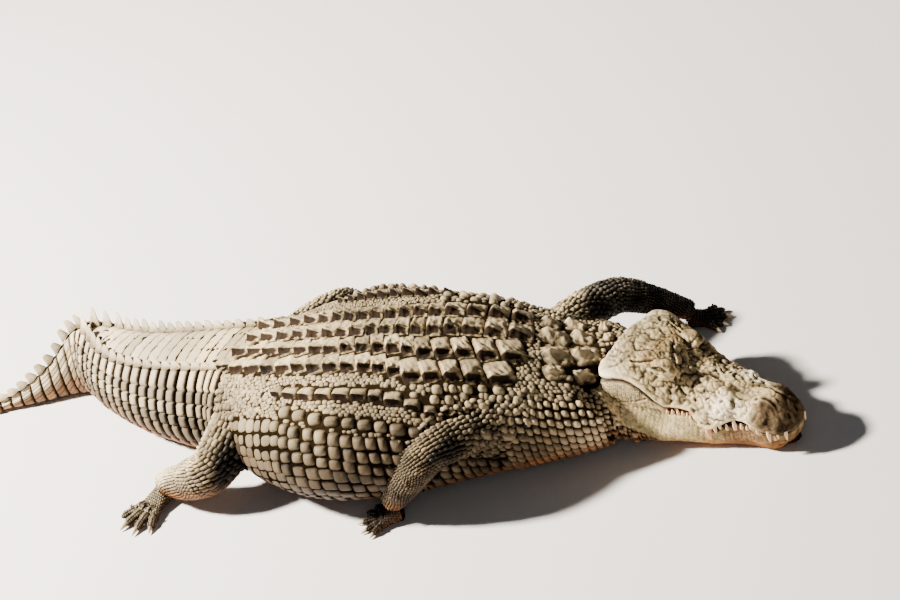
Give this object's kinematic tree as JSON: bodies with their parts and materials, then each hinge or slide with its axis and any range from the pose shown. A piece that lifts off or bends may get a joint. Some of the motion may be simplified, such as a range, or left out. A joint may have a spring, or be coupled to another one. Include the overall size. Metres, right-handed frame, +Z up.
{
  "type": "nile crocodile",
  "caption": "Life-size Nile crocodile basking on its belly, head turned to its right, one foreleg swept back and the tail bent sharply towards its right side.",
  "frame": {"origin": "on the floor, under the middle of the trunk, on the flat of the belly", "axes": "+X towards the head, along the trunk; +Y to the animal's left; +Z up"},
  "size_m": [2.889, 1.0881, 0.4058],
  "materials": {
    "body_skin": "dry, dusty grey-tan horny scales over dark skin",
    "tail_skin": "dry, pale tan scales in rings with dark seams",
    "head_skin": "dry, pale tan, pitted and wrinkled skin close over bone, with ivory teeth",
    "eye": "wet, glossy, yellow-brown"
  },
  "bodies": {
    "root": {"head": "head_skin", "lower_jaw": "head_skin", "eye_left": "eye", "eye_right": "eye", "neck": "body_skin", "trunk": "body_skin", "tail_root": "tail_skin", "tail_middle": "tail_skin", "tail_tip": "tail_skin", "left_fore_upper": "body_skin", "left_fore_lower": "body_skin", "left_fore_foot": "body_skin", "right_fore_upper": "body_skin", "right_fore_lower": "body_skin", "right_fore_foot": "body_skin", "left_hind_upper": "body_skin", "left_hind_lower": "body_skin", "left_hind_foot": "body_skin", "right_hind_upper": "body_skin", "right_hind_lower": "body_skin", "right_hind_foot": "body_skin"}
  },
  "joints": []
}
